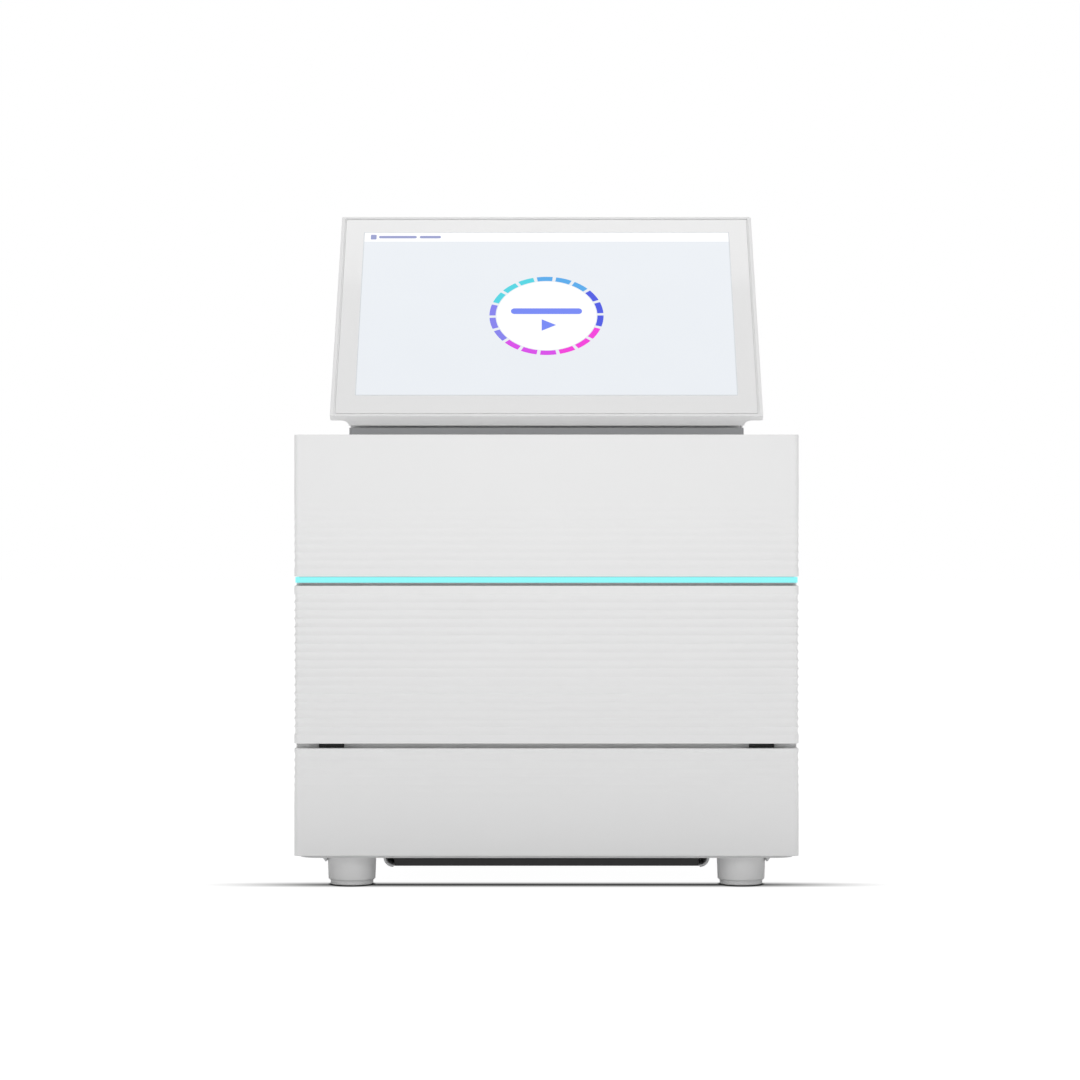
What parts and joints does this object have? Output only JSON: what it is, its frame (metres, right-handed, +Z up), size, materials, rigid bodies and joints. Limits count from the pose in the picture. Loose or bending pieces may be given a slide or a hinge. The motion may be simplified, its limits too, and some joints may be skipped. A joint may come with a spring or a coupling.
{
  "type": "benchtop sequencer",
  "caption": "Cube-shaped benchtop gene sequencer: ribbed wrap-round front, status light bar, powered drop-down door, sliding cartridge tray, and a touch monitor that folds flat on top",
  "frame": {"origin": "middle of the bench footprint: centre of the bounding box in X and Y, foot pads at Z = 0", "axes": "+Z up, the door and the screen face -Y, +X is the viewer's right"},
  "size_m": [0.305, 0.33, 0.4248],
  "materials": {
    "case_white": "satin",
    "inner_plastic": "satin",
    "foot_grey": "satin",
    "black_plastic": "satin",
    "dark_plastic": "satin",
    "pad_rubber": "matte",
    "filter_foam": "matte",
    "sheet_steel": "satin",
    "painted_sheet": "satin",
    "machined_aluminium": "satin",
    "circuit_board": "gloss",
    "display_glass": "gloss",
    "display_panel": "gloss",
    "status_light": "gloss"
  },
  "bodies": {
    "case": {"base_pan": "painted_sheet", "feet": "foot_grey", "foot_pads": "pad_rubber", "foot_brackets": "dark_plastic", "screws": "sheet_steel", "left_chassis_plate": "sheet_steel", "right_chassis_plate": "sheet_steel", "front_frame": "inner_plastic", "deck": "sheet_steel", "upper_shelf": "sheet_steel", "left_cover": "case_white", "right_cover": "case_white", "top_cover": "case_white", "rear_panel": "case_white", "visor": "case_white", "lower_front_panel": "case_white", "light_bar": "status_light", "led_strip": "circuit_board", "door_hinge_brackets": "black_plastic", "door_gearmotor": "sheet_steel", "tray_bridge": "sheet_steel", "tray_rails": "sheet_steel", "screw_bearings": "machined_aluminium", "tray_motor": "black_plastic", "thermal_plate": "machined_aluminium", "heat_sink": "machined_aluminium", "reader_head": "black_plastic", "pump_drive": "machined_aluminium", "main_board": "circuit_board", "processor_cooler": "machined_aluminium", "storage_drive": "dark_plastic", "power_supply": "sheet_steel", "fan_frames": "black_plastic", "filter_rails": "inner_plastic", "inlet_module": "black_plastic", "port_block": "sheet_steel", "side_port_board": "circuit_board", "monitor_plinth": "foot_grey", "monitor_hinges": "sheet_steel"},
    "door": {"door_skin": "case_white", "door_inner_panel": "inner_plastic", "door_hinge_arms": "machined_aluminium", "door_hinge_pins": "sheet_steel", "door_sector_gear": "machined_aluminium"},
    "pinion": {"door_pinion": "machined_aluminium"},
    "tray": {"cartridge_tray": "inner_plastic", "tray_carriages": "sheet_steel", "tray_nut": "black_plastic"},
    "screw": {"lead_screw": "sheet_steel", "shaft_coupling": "machined_aluminium"},
    "left_fan": {"left_fan_rotor": "black_plastic"},
    "right_fan": {"right_fan_rotor": "black_plastic"},
    "filter": {"filter_tray": "black_plastic", "filter_foam": "filter_foam"},
    "button": {"power_button": "inner_plastic"},
    "rocker": {"rocker_switch": "black_plastic"},
    "monitor": {"monitor_frame": "case_white", "touch_glass": "display_glass", "lcd_panel": "display_panel", "monitor_back": "case_white"}
  },
  "joints": [
    {"name": "door_hinge", "type": "hinge", "parent": "case", "child": "door", "pos_m": [0, -0.1595, 0.0905], "axis": [1, 0, 0], "range_deg": [0, 60]},
    {"name": "pinion_spin", "type": "hinge", "parent": "case", "child": "pinion", "pos_m": [0.097, -0.13131, 0.08024], "axis": [1, 0, 0], "range_deg": [-240.5, 0.5]},
    {"name": "tray_slide", "type": "slide", "parent": "case", "child": "tray", "axis": [0, -1, 0], "range_m": [0, 0.1201]},
    {"name": "screw_spin", "type": "hinge", "parent": "case", "child": "screw", "pos_m": [0, -0.06, 0.1455], "axis": [0, 1, 0], "range_deg": [-1, 4322]},
    {"name": "left_fan_spin", "type": "hinge", "parent": "case", "child": "left_fan", "pos_m": [-0.045, -0.09, 0.03], "axis": [0, 0, 1], "continuous": true},
    {"name": "right_fan_spin", "type": "hinge", "parent": "case", "child": "right_fan", "pos_m": [0.045, -0.09, 0.03], "axis": [0, 0, 1], "continuous": true},
    {"name": "filter_slide", "type": "slide", "parent": "case", "child": "filter", "axis": [0, -1, 0], "range_m": [0, 0.118]},
    {"name": "power_button_press", "type": "slide", "parent": "case", "child": "button", "axis": [1, 0, 0], "range_m": [0, 0.0015], "stiffness_N_per_m": 900},
    {"name": "rocker_tilt", "type": "hinge", "parent": "case", "child": "rocker", "pos_m": [-0.09, 0.158, 0.066], "axis": [-1, 0, 0], "range_deg": [0, 12]},
    {"name": "monitor_tilt", "type": "hinge", "parent": "case", "child": "monitor", "pos_m": [0, -0.06455, 0.28446], "axis": [-1, 0, 0], "range_deg": [0, 46.5]}
  ],
  "couplings": [
    {"joint": "pinion_spin", "follows": "door_hinge", "ratio": -4},
    {"joint": "tray_slide", "follows": "door_hinge", "m_per_rad": 0.11459},
    {"joint": "screw_spin", "follows": "door_hinge", "ratio": 72}
  ]
}
